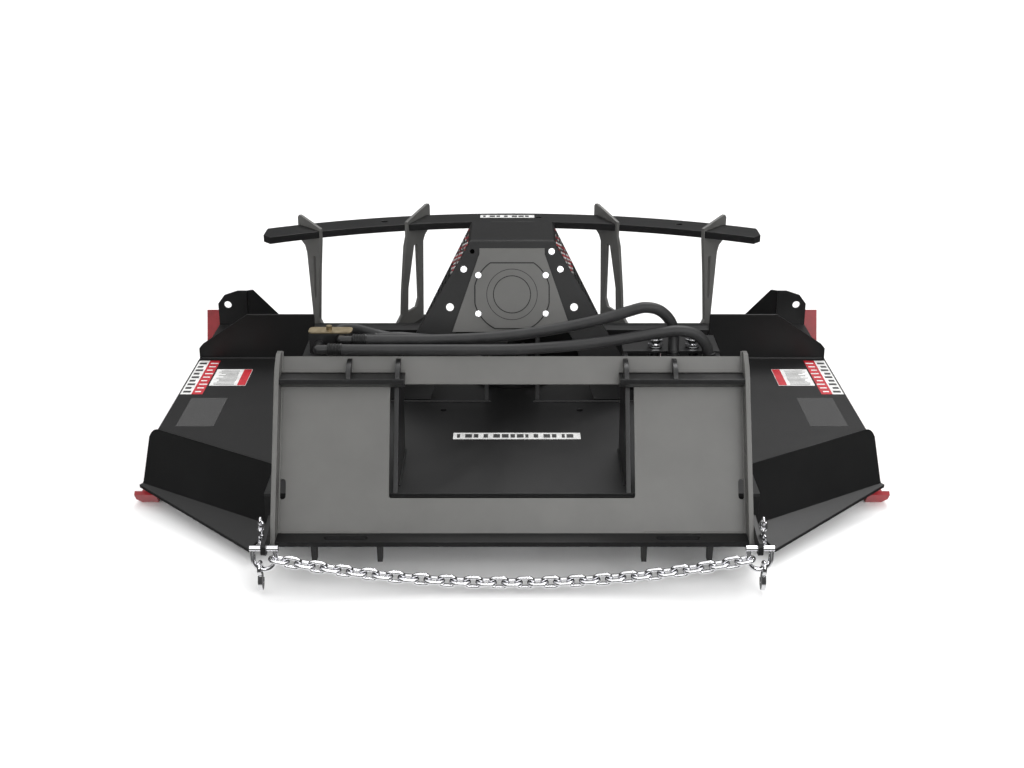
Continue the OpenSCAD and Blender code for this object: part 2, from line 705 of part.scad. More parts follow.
function slope_at(x) = 2 * chain_sag * x / (chain_half * chain_half);
function link_x(n) = n == 0 ? 0 : let (x = link_x(n - 1)) x + link_pitch * cos(atan(slope_at(x)));

// A bow hung from a pin along X.
module bow() {
    rod_x([-bow_r - 7, 0, pin_z], 7, 2 * bow_r + 14);
    for (x = [-bow_r, bow_r]) translate([x, 0, bow_z]) cylinder(r = bow_wire, h = pin_z - bow_z);
    translate([0, 0, bow_z]) rotate([-90, 0, 0]) rotate_extrude(angle = 180)
        translate([bow_r, 0]) circle(bow_wire);
}

module guard_chain() color(bright) at_lip() translate([0, chain_y, 0]) {
    for (side = [-1, 1]) translate([side * anchor_x, 0, 0]) bow();
    for (n = [0:end_links], side = n == 0 ? [1] : [-1, 1])
        let (x = link_x(n))
        translate([side * x, 0, chain_low_z + chain_sag * pow(x / chain_half, 2)])
            rotate([0, -side * atan(slope_at(x)), 0]) rotate([n % 2 == 0 ? 0 : 90, 0, 0]) link();
}

// Grab hook that hangs from the bow's outer side.
module tail_chain(side) color(bright) at_lip()
    translate([side * (anchor_x + tail_offset), chain_y, 0]) {
        eye_z = 67.2;
        translate([0, 0, eye_z]) rotate([0, 90, 0]) rotate_extrude() translate([hook_eye_r, 0]) circle(wire_r);
        plate_x(-wire_r, 2 * wire_r) polygon([
            [-9, 52], [9, 52], [12, 40], [7, 30], [7, 22], [12, 24], [17, 34], [21, 32], [17, 18],
            [5, 9], [-8, 12], [-15, 24], [-15, 38]]);
    }
module tail_chain_left() tail_chain(-1);
module tail_chain_right() tail_chain(1);

deck_plate();
rear_wall();
side_plate_left();
side_plate_right();
rear_skirt_left();
rear_skirt_right();
shoulder_wall_left();
shoulder_wall_right();
crossmember();
front_apron();
front_ear_left();
front_ear_right();
skid_shoe_left();
skid_shoe_right();
shoe_bolts();
mount_plate();
mount_flange_left();
mount_flange_right();
hook_ledge_left();
hook_ledge_right();
mount_lip();
mount_brace_left();
mount_brace_right();
motor_hood();
hood_flanges();
guard_plate();
access_cover();
cover_bolts();
hood_bolts();
hydraulic_motor();
spindle_housing();
spindle_bearings();
spindle_shaft();
rotor_hub();
blade_carrier();
stump_jumper();
blade_bolts();
blade_1();
blade_2();
blade_3();
push_bar();
upright_outer_left();
upright_inner_left();
upright_inner_right();
upright_outer_right();
manifold_block();
manifold_cap();
hose_fittings();
coupler_block();
couplers();
coupler_sleeve_left();
coupler_sleeve_right();
supply_hose_a();
supply_hose_b();
motor_hose_c();
motor_hose_d();
chain_anchors();
guard_chain();
tail_chain_left();
tail_chain_right();
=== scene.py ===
"""Looks of the brush mower: finishes, hoses, chain, couplers, decals, welds, light and camera.

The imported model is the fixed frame. Every piece here takes its place from the frame's boxes, rides on a
body of the frame, and is in metres: +X to the right seen from the loader, +Y forward, +Z up.
"""

import logging
import math
import random
from collections.abc import Sequence
from dataclasses import dataclass, field
from enum import Enum

import bmesh
import bpy
from mathutils import Matrix, Vector


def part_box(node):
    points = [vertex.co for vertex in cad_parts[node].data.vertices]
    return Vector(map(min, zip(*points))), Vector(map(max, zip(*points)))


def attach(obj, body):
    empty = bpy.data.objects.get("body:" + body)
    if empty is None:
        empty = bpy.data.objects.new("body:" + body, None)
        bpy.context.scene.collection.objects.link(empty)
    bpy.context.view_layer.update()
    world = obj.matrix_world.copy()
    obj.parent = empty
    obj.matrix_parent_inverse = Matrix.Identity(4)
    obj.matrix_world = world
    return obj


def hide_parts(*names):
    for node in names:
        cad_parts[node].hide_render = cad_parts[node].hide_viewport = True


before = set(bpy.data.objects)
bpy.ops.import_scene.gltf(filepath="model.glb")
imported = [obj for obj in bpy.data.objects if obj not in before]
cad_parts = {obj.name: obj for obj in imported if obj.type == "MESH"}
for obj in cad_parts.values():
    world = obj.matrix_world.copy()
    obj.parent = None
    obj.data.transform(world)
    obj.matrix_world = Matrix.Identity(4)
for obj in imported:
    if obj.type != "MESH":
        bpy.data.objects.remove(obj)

LOG = logging.getLogger("brush_mower")
MM = 0.001
MERGE = 0.01 * MM
DECK_TOP = 190.0
FILM_GAP = 0.1
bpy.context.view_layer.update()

# The front edge of the mount's lip stands 10 mm behind the zero of the lip's own frame.
LIP_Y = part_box("mount_lip")[0][1] + 10 * MM
Point = tuple[float, float, float]


def lip(x: float, y: float, z: float) -> Vector:
    """A point given in millimetres from the mount's lip, as metres in the row frame."""
    return Vector((x * MM, y * MM + LIP_Y, z * MM))


# ---------------------------------------------------------------- finishes


class NodeTree:
    """A material's nodes, with short ways to add and join them."""

    def __init__(self, name: str) -> None:
        """Start a material with a Principled shader.

        Args:
            name: the material's name.
        """
        self.material = bpy.data.materials.new(name)
        self.material.use_nodes = True
        self.nodes = self.material.node_tree.nodes
        self.links = self.material.node_tree.links
        self.shader = self.nodes["Principled BSDF"]
        self.coords = self.nodes.new("ShaderNodeTexCoord").outputs["Object"]

    def set(self, **values: float | tuple) -> None:
        """Set values on the shader's own sockets, each named with _ for a space."""
        for name, value in values.items():
            self.shader.inputs[name.replace("_", " ")].default_value = value

    def noise(self, scale: float, detail: float = 3.0, rough: float = 0.5,
              stretch: Point = (1.0, 1.0, 1.0)) -> bpy.types.NodeSocket:
        """A noise pattern on object coordinates.

        Args:
            scale: noise features per metre.
            detail: octaves.
            rough: roughness of the octaves.
            stretch: scale of the coordinates along each axis.

        Returns:
            The noise's factor socket.
        """
        mapping = self.nodes.new("ShaderNodeMapping")
        mapping.inputs["Scale"].default_value = stretch
        self.links.new(self.coords, mapping.inputs["Vector"])
        node = self.nodes.new("ShaderNodeTexNoise")
        node.inputs["Scale"].default_value = scale
        node.inputs["Detail"].default_value = detail
        node.inputs["Roughness"].default_value = rough
        self.links.new(mapping.outputs["Vector"], node.inputs["Vector"])
        return node.outputs["Fac"]

    def ramp(self, factor: bpy.types.NodeSocket,
             stops: Sequence[tuple[float, tuple]]) -> bpy.types.NodeSocket:
        """A colour ramp.

        Args:
            factor: what drives the ramp.
            stops: (position, colour) pairs.

        Returns:
            The ramp's colour socket.
        """
        node = self.nodes.new("ShaderNodeValToRGB")
        while len(node.color_ramp.elements) < len(stops):
            node.color_ramp.elements.new(0.5)
        for element, (position, colour) in zip(node.color_ramp.elements, stops):
            element.position = position
            element.color = (*colour, 1.0)
        self.links.new(factor, node.inputs["Fac"])
        return node.outputs["Color"]

    def scaled(self, factor: bpy.types.NodeSocket, low: float, high: float) -> bpy.types.NodeSocket:
        """A factor from 0 to 1, mapped to run from low to high.

        Args:
            factor: the socket to map.
            low: what 0 becomes.
            high: what 1 becomes.

        Returns:
            The mapped factor's socket.
        """
        node = self.nodes.new("ShaderNodeMapRange")
        node.inputs["To Min"].default_value = low
        node.inputs["To Max"].default_value = high
        self.links.new(factor, node.inputs["Value"])
        return node.outputs["Result"]

    def bump(self, height: bpy.types.NodeSocket, strength: float, distance: float) -> None:
        """Drive the shader's normal with a height.

        Args:
            height: the height's socket.
            strength: how strong the bump is.
            distance: its depth in metres.
        """
        node = self.nodes.new("ShaderNodeBump")
        node.inputs["Strength"].default_value = strength
        node.inputs["Distance"].default_value = distance
        self.links.new(height, node.inputs["Height"])
        self.links.new(node.outputs["Normal"], self.shader.inputs["Normal"])

    def join(self, socket: bpy.types.NodeSocket, name: str) -> None:
        """Link a socket to the shader's input of that name."""
        self.links.new(socket, self.shader.inputs[name])


@dataclass(frozen=True)
class PowderCoat:
    """Satin powder coat with a faint orange peel and handling marks.

    Args:
        name: the material's name.
        dark: colour of the darker patches.
        light: colour of the lighter patches.
        rough: roughness of the film, lowest and highest.
        gloss: strength of its highlights.
    """

    name: str
    dark: tuple[float, float, float]
    light: tuple[float, float, float]
    rough: tuple[float, float] = (0.26, 0.33)
    gloss: float = 0.5

    def make(self) -> bpy.types.Material:
        """Build the material.

        Returns:
            The finished material.
        """
        tree = NodeTree(self.name)
        cloud = tree.noise(5.0, 4.0, 0.6)
        tree.join(tree.ramp(cloud, [(0.3, self.dark), (0.7, self.light)]), "Base Color")
        tree.join(tree.scaled(tree.noise(38.0, 5.0, 0.65), *self.rough), "Roughness")
        tree.bump(tree.noise(900.0, 2.0), 0.10, 0.0004)
        tree.set(Specular_IOR_Level=self.gloss)
        return tree.material


@dataclass(frozen=True)
class RedPaint:
    """Glossier red paint, scuffed towards a duller red."""

    name: str = "scuffed_red"

    def make(self) -> bpy.types.Material:
        """Build the material.

        Returns:
            The finished material.
        """
        tree = NodeTree(self.name)
        scuffs = tree.noise(16.0, 6.0, 0.7, (1.0, 0.35, 1.0))
        reds = [(0.35, (0.20, 0.008, 0.012)), (0.7, (0.33, 0.014, 0.021))]
        tree.join(tree.ramp(scuffs, reds), "Base Color")
        tree.join(tree.scaled(scuffs, 0.30, 0.50), "Roughness")
        tree.bump(tree.noise(700.0, 2.0), 0.08, 0.0004)
        return tree.material


@dataclass(frozen=True)
class BareMetal:
    """Plated or machined metal with fine brushing.

    Args:
        name: the material's name.
        dark: colour of the darker streaks.
        light: colour of the lighter streaks.
        rough: roughness, lowest and highest.
        stretch: how the streaks run.
    """

    name: str
    dark: tuple[float, float, float]
    light: tuple[float, float, float]
    rough: tuple[float, float]
    stretch: Point = (1.0, 1.0, 1.0)

    def make(self) -> bpy.types.Material:
        """Build the material.

        Returns:
            The finished material.
        """
        tree = NodeTree(self.name)
        streaks = tree.noise(60.0, 5.0, 0.6, self.stretch)
        tree.join(tree.ramp(streaks, [(0.3, self.dark), (0.7, self.light)]), "Base Color")
        tree.join(tree.scaled(streaks, *self.rough), "Roughness")
        tree.bump(tree.noise(420.0, 3.0, 0.5, self.stretch), 0.05, 0.0003)
        tree.set(Metallic=1.0)
        return tree.material


@dataclass(frozen=True)
class HoseRubber:
    """Smooth black hose cover with a dull bloom."""

    name: str = "hose_cover"

    def make(self) -> bpy.types.Material:
        """Build the material.

        Returns:
            The finished material.
        """
        tree = NodeTree(self.name)
        bloom = tree.noise(22.0, 4.0, 0.6)
        blacks = [(0.3, (0.011, 0.011, 0.0115)), (0.75, (0.018, 0.018, 0.0185))]
        tree.join(tree.ramp(bloom, blacks), "Base Color")
        tree.join(tree.scaled(bloom, 0.44, 0.58), "Roughness")
        tree.bump(tree.noise(1500.0, 2.0), 0.15, 0.0003)
        return tree.material


@dataclass(frozen=True)
class Film:
    """A printed vinyl film of one ink.

    Args:
        name: the material's name.
        ink: its colour.
        worn: its colour where it is rubbed.
    """

    name: str
    ink: tuple[float, float, float]
    worn: tuple[float, float, float]

    def make(self) -> bpy.types.Material:
        """Build the material.

        Returns:
            The finished material.
        """
        tree = NodeTree(self.name)
        rub = tree.noise(45.0, 4.0, 0.6)
        tree.join(tree.ramp(rub, [(0.35, self.worn), (0.6, self.ink)]), "Base Color")
        tree.join(tree.scaled(rub, 0.35, 0.5), "Roughness")
        tree.bump(tree.noise(600.0, 2.0), 0.04, 0.0002)
        return tree.material


@dataclass(frozen=True)
class GripFilm:
    """Coarse non-slip film."""

    name: str = "grip_film"

    def make(self) -> bpy.types.Material:
        """Build the material.

        Returns:
            The finished material.
        """
        tree = NodeTree(self.name)
        grit = tree.noise(520.0, 4.0, 0.75)
        greys = [(0.35, (0.020, 0.020, 0.020)), (0.7, (0.085, 0.085, 0.085))]
        tree.join(tree.ramp(grit, greys), "Base Color")
        tree.set(Roughness=0.85)
        tree.bump(grit, 0.7, 0.0008)
        return tree.material


class Finish(Enum):
    """Every finish on the machine."""

    BLACK = PowderCoat("satin_black", (0.0090, 0.0090, 0.0092), (0.0125, 0.0125, 0.0128))
    # Painted shade: a darker, duller copy of the black coat. The walls, skirts, flanges, lip and parts under
    # the hood take it so that they read as sitting in shade. It also colours the hose ferrules and the
    # painted shade round the access cover.
    DARK = PowderCoat("satin_black_shaded", (0.0050, 0.0050, 0.0052), (0.0072, 0.0072, 0.0074), (0.34, 0.42), 0.35)
    GREY = PowderCoat("satin_grey", (0.086, 0.085, 0.081), (0.106, 0.105, 0.100), (0.36, 0.44))
    RED = RedPaint()
    CHROME = BareMetal("polished_plate", (0.80, 0.80, 0.82), (0.93, 0.93, 0.95), (0.06, 0.16))
    ZINC = BareMetal("zinc_plate", (0.70, 0.70, 0.72), (0.88, 0.88, 0.90), (0.16, 0.30))
    YELLOW = BareMetal("passivated_zinc", (0.30, 0.24, 0.15), (0.44, 0.37, 0.25), (0.35, 0.50))
    STEEL = BareMetal("turned_steel", (0.42, 0.42, 0.43), (0.58, 0.58, 0.59), (0.25, 0.42))
    BLADE = BareMetal("rolled_steel", (0.16, 0.16, 0.165), (0.27, 0.27, 0.28), (0.38, 0.60), (1.0, 1.0, 6.0))
    RUBBER = HoseRubber()
    WHITE_FILM = Film("white_film", (0.80, 0.80, 0.79), (0.66, 0.66, 0.65))
    RED_FILM = Film("red_film", (0.50, 0.014, 0.026), (0.40, 0.012, 0.022))
    INK = Film("black_ink", (0.03, 0.03, 0.03), (0.05, 0.05, 0.05))
    GRIP = GripFilm()

    @property
    def material(self) -> bpy.types.Material:
        """The finish's material, built the first time that it is asked for."""
        found = bpy.data.materials.get(self.value.name)
        return found or self.value.make()


# ---------------------------------------------------------------- mesh tools


def object_from(bm: bmesh.types.BMesh, name: str, body: str, *finishes: Finish,
                smooth_angle: float = 40.0) -> bpy.types.Object:
    """Turn a bmesh into a finished piece that rides on a body.

    Args:
        bm: the shape, which is freed.
        name: the piece's name.
        body: the CAD body that it rides on.
        finishes: the finish of each material index.
        smooth_angle: edges sharper than this many degrees stay sharp.

    Returns:
        The new object.
    """
    mesh = bpy.data.meshes.new(name)
    bm.to_mesh(mesh)
    bm.free()
    mesh.shade_smooth()
    mesh.set_sharp_from_angle(angle=math.radians(smooth_angle))
    for finish in finishes:
        mesh.materials.append(finish.material)
    obj = bpy.data.objects.new(name, mesh)
    bpy.context.scene.collection.objects.link(obj)
    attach(obj, body)
    LOG.info("%s: %d faces on %s", name, len(mesh.polygons), body)
    return obj


def outward(bm: bmesh.types.BMesh) -> None:
    """Merge doubles and point every face outwards."""
    bmesh.ops.remove_doubles(bm, verts=bm.verts, dist=MERGE)
    bmesh.ops.recalc_face_normals(bm, faces=bm.faces)


def lathe(bm: bmesh.types.BMesh, profile: Sequence[tuple[float, float]], place: Matrix,
          steps: int = 32, index: int = 0) -> None:
    """Spin a (radius, height) profile about Z, in millimetres, and put it in place.

    Args:
        bm: the bmesh to add to.
        profile: (radius, height) corners. A solid's profile comes back to its start or to the axis.
        place: where the turned shape goes.
        steps: facets round the axis.
        index: the material index of its faces.
    """
    verts = [bm.verts.new((r * MM, 0.0, z * MM)) for r, z in profile]
    edges = [bm.edges.new(pair) for pair in zip(verts, verts[1:])]
    before = set(bm.faces)
    bmesh.ops.spin(bm, geom=verts + edges, cent=(0, 0, 0), axis=(0, 0, 1),
                   angle=math.tau, steps=steps, use_merge=True)
    new = list({v for f in bm.faces if f not in before for v in f.verts})
    bmesh.ops.remove_doubles(bm, verts=new, dist=MERGE)
    faces = [f for f in bm.faces if f not in before]
    bmesh.ops.recalc_face_normals(bm, faces=faces)
    for face in faces:
        face.material_index = index
    bmesh.ops.transform(bm, matrix=place, verts=list({v for f in faces for v in f.verts}))


def block(bm: bmesh.types.BMesh, size: Point, place: Matrix, bevel: float = 0.0, index: int = 0) -> None:
    """Add a box of that size in millimetres, with bevelled edges.

    Args:
        bm: the bmesh to add to.
        size: its three edges in millimetres.
        place: where its centre goes.
        bevel: width of the bevel in millimetres, or 0 for none.
        index: the material index of its faces.
    """
    before = set(bm.faces)
    made = bmesh.ops.create_cube(bm, size=1.0)["verts"]
    bmesh.ops.scale(bm, vec=[s * MM for s in size], verts=made)
    if bevel:
        edges = list({e for v in made for e in v.link_edges})
        bmesh.ops.bevel(bm, geom=edges, offset=bevel * MM, segments=2, profile=0.5,
                        affect="EDGES", material=-1)
    faces = [f for f in bm.faces if f not in before]
    for face in faces:
        face.material_index = index
    bmesh.ops.transform(bm, matrix=place, verts=list({v for f in faces for v in f.verts}))


def towards(position: Vector, normal: Vector, up: Vector = Vector((0, 0, 1))) -> Matrix:
    """A place whose +Z is normal and whose +Y leans towards up.

    Args:
        position: the origin of the place.
        normal: its +Z.
        up: what its +Y leans towards.

    Returns:
        The 4 by 4 matrix.
    """
    z = normal.normalized()
    x = up.cross(z).normalized()
    y = z.cross(x)
    turn = Matrix((x, y, z)).transposed().to_4x4()
    return Matrix.Translation(position) @ turn


def tube(bm: bmesh.types.BMesh, path: Sequence[Vector], radii: Sequence[float], closed: bool = False,
         sides: int = 10, up: Vector = Vector((0.13, 0.29, 0.95)), index: int = 0) -> None:
    """Add a round tube along a path.

    Args:
        bm: the bmesh to add to.
        path: points in metres.
        radii: the radius at each point in millimetres.
        closed: whether the path's end joins its start.
        sides: facets round the tube.
        up: any direction that the path never runs along.
        index: the material index of its faces.
    """
    rings = []
    count = len(path)
    for k, (point, radius) in enumerate(zip(path, radii)):
        ahead = path[(k + 1) % count] if closed or k + 1 < count else point
        behind = path[k - 1] if closed or k else point
        along = (ahead - behind).normalized()
        x = up.cross(along).normalized()
        y = along.cross(x)
        rings.append([bm.verts.new(point + (x * math.cos(a) + y * math.sin(a)) * radius * MM)
                      for a in (math.tau * n / sides for n in range(sides))])
    pairs = list(zip(rings, rings[1:]))
    if closed:
        pairs.append((rings[-1], rings[0]))
    faces = []
    for low, high in pairs:
        for n in range(sides):
            m = (n + 1) % sides
            faces.append(bm.faces.new((low[n], low[m], high[m], high[n])))
    if not closed:
        faces += [bm.faces.new(list(reversed(rings[0]))), bm.faces.new(rings[-1])]
    for face in faces:
        face.material_index = index


# ---------------------------------------------------------------- the machine


@dataclass
class Steelwork:
    """The CAD plates, turned parts and bolts: softened edges and finishes."""

    edge: float = 1.1
    flat_angle: float = 0.5
    edge_angle: float = 32.0
    grey: tuple[str, ...] = (
        "mount_plate", "mount_flange_left", "mount_flange_right", "guard_plate", "access_cover",
        "upright_outer_left", "upright_inner_left", "upright_inner_right", "upright_outer_right")
    # Painted shade: these nodes take the darker copy of the black coat, which stands for the shade on the
    # walls, skirts, flanges, lip and parts under the hood.
    dark: tuple[str, ...] = (
        "rear_wall", "rear_skirt_left", "rear_skirt_right", "hood_flanges", "shoulder_wall_left",
        "shoulder_wall_right", "crossmember", "front_apron", "hydraulic_motor", "spindle_housing",
        "mount_lip", "chain_anchors")
    others: dict[str, Finish] = field(default_factory=lambda: {
        "skid_shoe_left": Finish.RED, "skid_shoe_right": Finish.RED, "shoe_bolts": Finish.ZINC,
        "cover_bolts": Finish.ZINC, "hood_bolts": Finish.ZINC, "manifold_cap": Finish.YELLOW,
        "spindle_bearings": Finish.STEEL, "spindle_shaft": Finish.STEEL, "blade_bolts": Finish.STEEL,
        "blade_1": Finish.BLADE, "blade_2": Finish.BLADE, "blade_3": Finish.BLADE,
        "tail_chain_left": Finish.CHROME, "tail_chain_right": Finish.CHROME,
        "guard_chain": Finish.CHROME, "couplers": Finish.CHROME,
        "coupler_sleeve_left": Finish.CHROME, "coupler_sleeve_right": Finish.CHROME})

    def finish_of(self, node: str) -> Finish:
        """The finish of a CAD node.

        Args:
            node: the node's name.

        Returns:
            Its finish, which is plain black where no list names it.
        """
        if node in self.others:
            return self.others[node]
        if node in self.grey:
            return Finish.GREY
        return Finish.DARK if node in self.dark else Finish.BLACK

    def dress(self) -> None:
        """Give every CAD node its finish and soft edges."""
        for name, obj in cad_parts.items():
            obj.data.materials.clear()
            obj.data.materials.append(self.finish_of(name).material)
            self.soften(obj)
            LOG.info("%s: %s", name, self.finish_of(name).value.name)

    def soften(self, obj: bpy.types.Object) -> None:
        """Add modifiers that merge a node's triangles, round its edges and even its shading.

        Args:
            obj: the CAD node's object, whose own mesh stays as it is.
        """
        for face in obj.data.polygons:
            face.use_smooth = True
        weld = obj.modifiers.new("weld", "WELD")
        weld.merge_threshold = MERGE
        flat = obj.modifiers.new("flat", "DECIMATE")
        flat.decimate_type = "DISSOLVE"
        flat.angle_limit = math.radians(self.flat_angle)
        bevel = obj.modifiers.new("edge", "BEVEL")
        bevel.width = self.edge * MM
        bevel.segments = 2
        bevel.limit_method = "ANGLE"
        bevel.angle_limit = math.radians(self.edge_angle)
        bevel.use_clamp_overlap = True
        even = obj.modifiers.new("even", "WEIGHTED_NORMAL")
        even.keep_sharp = True


@dataclass
class Hoses:
    """The two supply hoses and the two motor hoses, with their crimped ferrules."""

    radius: float = 14.0
    supply_a: tuple[Point, ...] = (
        (-395, 287, 520), (-340, 287, 520), (-280, 288, 520), (-220, 288, 520), (-160, 289, 521),
        (-100, 290, 523), (-40, 291, 527), (20, 293, 533), (80, 296, 541), (140, 300, 551),
        (195, 304, 562), (245, 308, 574), (290, 312, 587), (330, 315, 596), (367, 318, 587),
        (394, 319, 560), (404, 317, 528), (404, 309, 500), (404, 299, 474), (404, 293, 452))
    supply_b: tuple[Point, ...] = (
        (-455, 262, 504), (-400, 261, 504), (-340, 260, 504), (-280, 260, 504), (-220, 260, 504),
        (-160, 260, 504), (-100, 260, 504), (-40, 261, 504), (20, 262, 505), (80, 264, 508),
        (140, 267, 512), (200, 270, 518), (258, 274, 525), (312, 278, 533), (365, 282, 541),
        (415, 285, 545), (455, 287, 535), (481, 289, 509), (490, 291, 478), (490, 293, 452))
    motor_c: tuple[Point, ...] = (
        (-372, 322, 508), (-330, 324, 512), (-285, 334, 511), (-240, 352, 501), (-190, 382, 486),
        (-142, 418, 469), (-97, 462, 449), (-62, 512, 432), (-44, 566, 416), (-36, 620, 398),
        (-31, 672, 378), (-29, 724, 357), (-28, 776, 337), (-28, 826, 322))
    motor_d: tuple[Point, ...] = (
        (-452, 364, 504), (-450, 400, 502), (-436, 436, 498), (-404, 464, 487), (-360, 482, 468),
        (-310, 494, 452), (-258, 503, 434), (-206, 513, 415), (-155, 528, 395), (-107, 550, 373),
        (-64, 582, 350), (-26, 622, 330), (6, 668, 314), (24, 720, 303), (30, 772, 297),
        (30, 826, 296))

    def build(self) -> None:
        for name, node, route in (
                ("supply_hose_a_cover", "supply_hose_a", self.supply_a),
                ("supply_hose_b_cover", "supply_hose_b", self.supply_b),
                ("motor_hose_c_cover", "motor_hose_c", self.motor_c),
                ("motor_hose_d_cover", "motor_hose_d", self.motor_d)):
            self.hose(name, node, [lip(*p) for p in route])

    def hose(self, name: str, node: str, route: list[Vector]) -> None:
        """Make one hose along a route, in place of its CAD tube.

        Args:
            name: the piece's name.
            node: the CAD node that it stands for.
            route: points in the row frame.
        """
        line = self.smooth(route, 8)
        curve = bpy.data.curves.new(name, "CURVE")
        curve.dimensions = "3D"
        spline = curve.splines.new("POLY")
        spline.points.add(len(line) - 1)
        for point, place in zip(spline.points, line):
            point.co = (*place, 1.0)
        curve.bevel_depth = self.radius * MM
        curve.bevel_resolution = 8
        curve.use_fill_caps = True
        curve.materials.append(Finish.RUBBER.material)
        obj = bpy.data.objects.new(name, curve)
        bpy.context.scene.collection.objects.link(obj)
        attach(obj, "deck")
        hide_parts(node)
        self.ferrule(f"{name}_crimp_start", line[0], (line[1] - line[0]))
        self.ferrule(f"{name}_crimp_end", line[-1], (line[-2] - line[-1]))

    @staticmethod
    def smooth(points: list[Vector], steps: int) -> list[Vector]:
        """A smooth curve through the points.

        Args:
            points: the points that it passes.
            steps: new points for each stretch.

        Returns:
            The curve's points.
        """
        ends = [2 * points[0] - points[1], *points, 2 * points[-1] - points[-2]]
        line = []
        for a, b, c, d in zip(ends, ends[1:], ends[2:], ends[3:]):
            for k in range(steps):
                t = k / steps
                line.append(0.5 * (2 * b + (c - a) * t + (2 * a - 5 * b + 4 * c - d) * t ** 2
                                   + (3 * b - a - 3 * c + d) * t ** 3))
        return [*line, points[-1]]

    def ferrule(self, name: str, end: Vector, along: Vector) -> None:
        """A crimped sleeve round a hose's end.

        Args:
            name: the piece's name.
            end: the hose's end.
            along: the way that the hose leaves it.
        """
        r = self.radius
        profile = [(r - 0.4, 0), (r + 1.8, 0), (r + 2.2, 1), (r + 2.2, 5)]
        for rib in range(4):
            low = 6 + rib * 7
            profile += [(r + 1.0, low), (r + 1.0, low + 3), (r + 2.0, low + 4), (r + 2.0, low + 6)]
        profile += [(r + 1.2, 35), (r - 0.4, 35.5), (r - 0.4, 0)]
        bm = bmesh.new()
        lathe(bm, profile, towards(end, along, Vector((0.2, 0.3, 1))), 28)
        object_from(bm, name, "deck", Finish.DARK)


@dataclass
class AnchorLinks:
    """The short strings of small links that hang from an eye beside each shackle."""

    wire: float = 3.3
    length: float = 29.0
    width: float = 20.0
    eye: Point = (597, -16, 172)
    eye_radius: float = 8.0
    first_drop: float = 12.0
    count: int = 4
    first_turn: float = 24.0
    next_turn: float = 78.0
    overlap: float = 0.82
    steps: int = 28

    def build(self) -> None:
        """Make both strings."""
        for side in (-1, 1):
            bm = bmesh.new()
            top = lip(side * self.eye[0], self.eye[1], self.eye[2])
            self.ring(bm, top, Vector((0, 1, 0)), Vector((0, 0, 1)), self.eye_radius, self.eye_radius)
            down = Vector((0, -0.16, -1)).normalized()
            across = Vector((1, 0, 0))
            ahead = down.cross(across)
            centre = top + down * self.first_drop * MM
            for k in range(self.count):
                turn = math.radians(self.first_turn + self.next_turn * (k % 2))
                wide = across * math.cos(turn) + ahead * math.sin(turn)
                self.ring(bm, centre, wide, down, self.width / 2 - self.wire, self.length / 2 - self.wire)
                centre = centre + down * (self.length - 2.6 * self.wire) * self.overlap * MM
            outward(bm)
            object_from(bm, f"anchor_links_{'left' if side < 0 else 'right'}", "deck", Finish.CHROME)

    def ring(self, bm: bmesh.types.BMesh, centre: Vector, wide: Vector, tall: Vector,
             half_width: float, half_length: float) -> None:
        """Add one closed link of round wire.

        Args:
            bm: the bmesh to add to.
            centre: its middle.
            wide: the direction of its width.
            tall: the direction of its length.
            half_width: half of its width to the wire's centre, in millimetres.
            half_length: half of its length to the wire's centre, in millimetres.
        """
        path = []
        rise = half_length - half_width
        for k in range(self.steps):
            a = math.tau * k / self.steps
            lift = rise if math.sin(a) > 0 else -rise
            path.append(centre + wide * (half_width * math.cos(a) * MM)
                        + tall * ((half_width * math.sin(a) + lift) * MM))
        tube(bm, path, [self.wire] * len(path), True, 10, wide.cross(tall))


@dataclass
class Welds:
    """Rippled fillet welds along the seams that show."""

    pitch: float = 4.2
    bead: float = 3.2
    mount_bead: float = 3.0
    thin: float = 0.82
    lean: float = 30.0
    foot: tuple[float, float] = (38.0, 112.0)
    sunk: float = 1.0
    level: float = DECK_TOP + 1

    def face(self, x: float, z: float) -> Vector:
        """A point on the leaning rear face of the mount, at width x and height z."""
        return lip(x, self.foot[0] + (z - self.foot[1]) * math.tan(math.radians(self.lean)) - self.sunk, z)

    def on_deck(self, x: float, y: float) -> Vector:
        """A point of a bead's middle where it lies on the deck."""
        return lip(x, y, self.level)

    def build(self) -> None:
        """Make every weld."""
        for side in (-1, 1):
            tag = "left" if side < 0 else "right"
            self.run(f"weld_mount_{tag}", Finish.GREY, [
                (self.face(side * 566.5, 122), self.face(side * 566.5, 418)),
                (self.face(side * 566.5, 456), self.face(side * 566.5, 500)),
                (self.face(side * 264, 455.5), self.face(side * 567, 455.5)),
                (lip(side * 320, 39, 113), lip(side * 560, 39, 113))], self.mount_bead)
            self.run(f"weld_deck_{tag}", Finish.BLACK, [
                (self.on_deck(side * 610, 1049), self.on_deck(side * 950, 1049)),
                (self.on_deck(side * 334, 725), self.on_deck(side * 334, 1054)),
                (self.on_deck(side * 60, 696), self.on_deck(side * 382, 696)),
                (self.on_deck(side * 278, 140), self.on_deck(side * 278, 360)),
                (self.on_deck(side * 509, 140), self.on_deck(side * 509, 430)),
                (self.on_deck(side * 292, 140), self.on_deck(side * 292, 360))], self.bead)

    def run(self, name: str, finish: Finish, seams: Sequence[tuple[Vector, Vector]], radius: float) -> None:
        """Make one piece of rippled beads.

        Args:
            name: the piece's name.
            finish: its finish.
            seams: the two ends of each bead.
            radius: the bead's radius in millimetres.
        """
        bm = bmesh.new()
        for start, stop in seams:
            count = max(2, round((stop - start).length / (self.pitch * MM))) * 2
            path = [start.lerp(stop, k / count) for k in range(count + 1)]
            tube(bm, path, [radius * (1.0 if k % 2 else self.thin) for k in range(count + 1)])
        outward(bm)
        object_from(bm, name, "deck", finish, smooth_angle=60.0)


